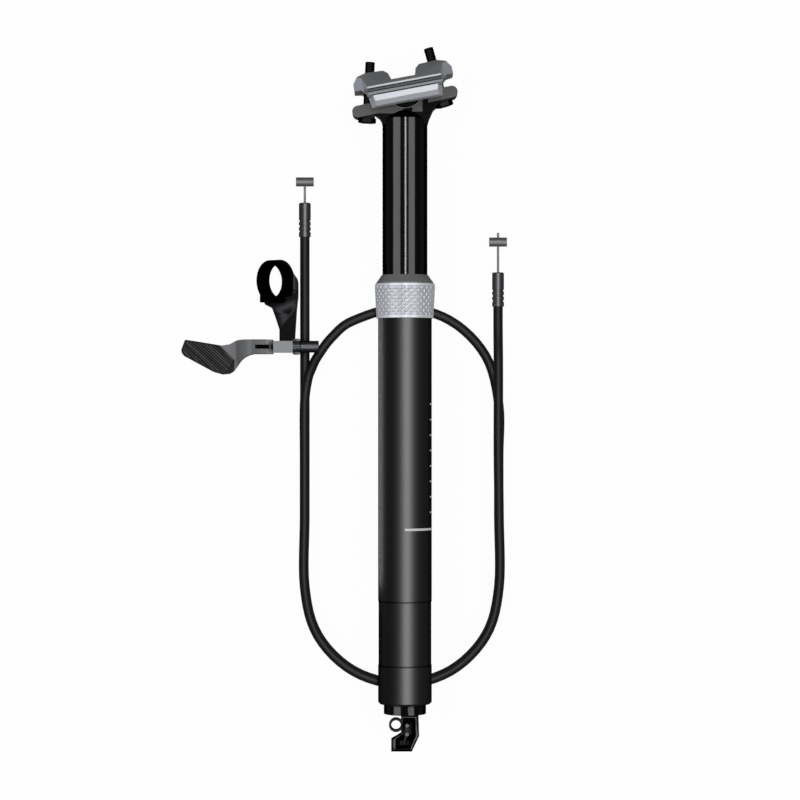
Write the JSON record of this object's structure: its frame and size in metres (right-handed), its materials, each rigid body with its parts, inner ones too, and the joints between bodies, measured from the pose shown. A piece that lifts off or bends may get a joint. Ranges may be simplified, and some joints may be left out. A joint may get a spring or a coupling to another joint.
{
  "type": "dropper seatpost",
  "caption": "Telescoping bicycle seatpost with a two-bolt rail clamp, knurled collar and cable actuator, laid out with its thumb remote and coiled cable.",
  "frame": {"origin": "on the post's axis at the underside of the collar", "axes": "+Y up the post to the saddle, +X to the bike's rear, +Z to the bike's left side; the kit lies flat with -Z down"},
  "size_m": [0.215, 0.4573, 0.0612],
  "materials": {
    "tube_black": "satin",
    "stanchion_black": "gloss",
    "silver": "satin",
    "grey_alloy": "satin",
    "black_alloy": "semi gloss",
    "black_steel": "black oxide",
    "steel": "bright",
    "brass": "plain",
    "seal_rubber": "matte",
    "bush_plastic": "matte",
    "lever_grey": "satin",
    "pad_rubber": "matte",
    "cable_black": "satin",
    "ferrule_grey": "satin"
  },
  "bodies": {
    "post_lower": {"outer_tube": "tube_black", "collar": "silver", "wiper_seal": "seal_rubber", "seal_ring": "seal_rubber", "upper_bush": "bush_plastic", "bottom_cap": "black_alloy", "rod_nut": "steel", "piston_rod": "steel", "piston": "grey_alloy", "piston_band": "seal_rubber", "cable_stop_bracket": "black_alloy", "actuator_pins": "steel"},
    "stanchion": {"stanchion_tube": "stanchion_black", "seat_head": "black_alloy", "lower_bush": "bush_plastic", "anti_rotation_keys": "brass", "cartridge_tube": "grey_alloy", "cartridge_gland": "grey_alloy", "cartridge_cap": "grey_alloy", "cartridge_bolt": "black_steel", "foot_ring": "black_alloy"},
    "saddle_clamp": {"lower_cradle": "silver", "upper_clamp": "grey_alloy", "clamp_nuts": "black_steel"},
    "front_clamp_bolt": {"front_bolt": "black_steel", "front_washer": "black_steel"},
    "rear_clamp_bolt": {"rear_bolt": "black_steel", "rear_washer": "black_steel"},
    "gas_piston": {"floating_piston": "grey_alloy", "floating_seal": "seal_rubber"},
    "actuator": {"actuator_arm": "black_alloy"},
    "release": {"release_pin": "steel", "release_button": "brass"},
    "remote": {"remote_bracket": "black_alloy", "pinch_bolt": "black_steel", "pivot_housing": "lever_grey", "lever_pin": "steel", "adjuster_lock_ring": "ferrule_grey"},
    "lever": {"lever_blade": "lever_grey", "thumb_pad": "pad_rubber"},
    "adjuster": {"barrel_adjuster": "ferrule_grey"},
    "cable": {"cable_housing": "cable_black", "left_ferrule": "ferrule_grey", "right_ferrule": "ferrule_grey"},
    "left_wire_end": {"left_wire": "steel", "left_barrel": "steel"},
    "right_wire_end": {"right_wire": "steel", "right_barrel": "steel", "pinch_screw": "black_steel"}
  },
  "joints": [
    {"name": "post_travel", "type": "slide", "parent": "post_lower", "child": "stanchion", "axis": [0, 1, 0], "range_m": [-0.095, 0]},
    {"name": "clamp_tilt", "type": "hinge", "parent": "stanchion", "child": "saddle_clamp", "pos_m": [-0.0001, 0.14821, 0], "axis": [0, 0, 1], "range_deg": [-8, 8]},
    {"name": "front_bolt_swing", "type": "hinge", "parent": "stanchion", "child": "front_clamp_bolt", "pos_m": [-0.02445, 0.13097, 0], "axis": [0, 0, 1], "range_deg": [-1, 1]},
    {"name": "rear_bolt_swing", "type": "hinge", "parent": "stanchion", "child": "rear_clamp_bolt", "pos_m": [0.02495, 0.14147, 0], "axis": [0, 0, 1], "range_deg": [-3, 3]},
    {"name": "gas_piston_slide", "type": "slide", "parent": "stanchion", "child": "gas_piston", "axis": [0, 1, 0], "range_m": [0, 0.0215]},
    {"name": "actuator_swing", "type": "hinge", "parent": "post_lower", "child": "actuator", "pos_m": [0.0014, -0.264, 0], "axis": [0, 0, 1], "range_deg": [0, 30]},
    {"name": "release_slide", "type": "slide", "parent": "post_lower", "child": "release", "axis": [0, 1, 0], "range_m": [0, 0.00125], "stiffness_N_per_m": 200, "springref_m": -0.002},
    {"name": "remote_slide", "type": "slide", "parent": "post_lower", "child": "remote", "axis": [-1, 0, 0], "range_m": [0, 0.1]},
    {"name": "lever_swing", "type": "hinge", "parent": "remote", "child": "lever", "pos_m": [-0.0798, -0.018, -0.0255], "axis": [0, 1, 0], "range_deg": [0, 24]},
    {"name": "adjuster_turn", "type": "hinge", "parent": "remote", "child": "adjuster", "pos_m": [-0.06, -0.018, -0.0182], "axis": [1, 0, 0], "continuous": true},
    {"name": "cable_slide", "type": "slide", "parent": "post_lower", "child": "cable", "axis": [1, 0, 0], "range_m": [0, 0.12]},
    {"name": "left_wire_slide", "type": "slide", "parent": "cable", "child": "left_wire_end", "axis": [0, 1, 0], "range_m": [-0.009, 0.009]},
    {"name": "right_wire_slide", "type": "slide", "parent": "cable", "child": "right_wire_end", "axis": [0, 1, 0], "range_m": [-0.009, 0.009]}
  ],
  "couplings": [
    {"joint": "front_bolt_swing", "follows": "clamp_tilt", "ratio": 0.0755},
    {"joint": "rear_bolt_swing", "follows": "clamp_tilt", "ratio": 0.3309},
    {"joint": "gas_piston_slide", "follows": "post_travel", "ratio": -0.2215},
    {"joint": "actuator_swing", "follows": "release_slide", "rad_per_m": 416.67},
    {"joint": "right_wire_slide", "follows": "left_wire_slide", "ratio": -1}
  ]
}
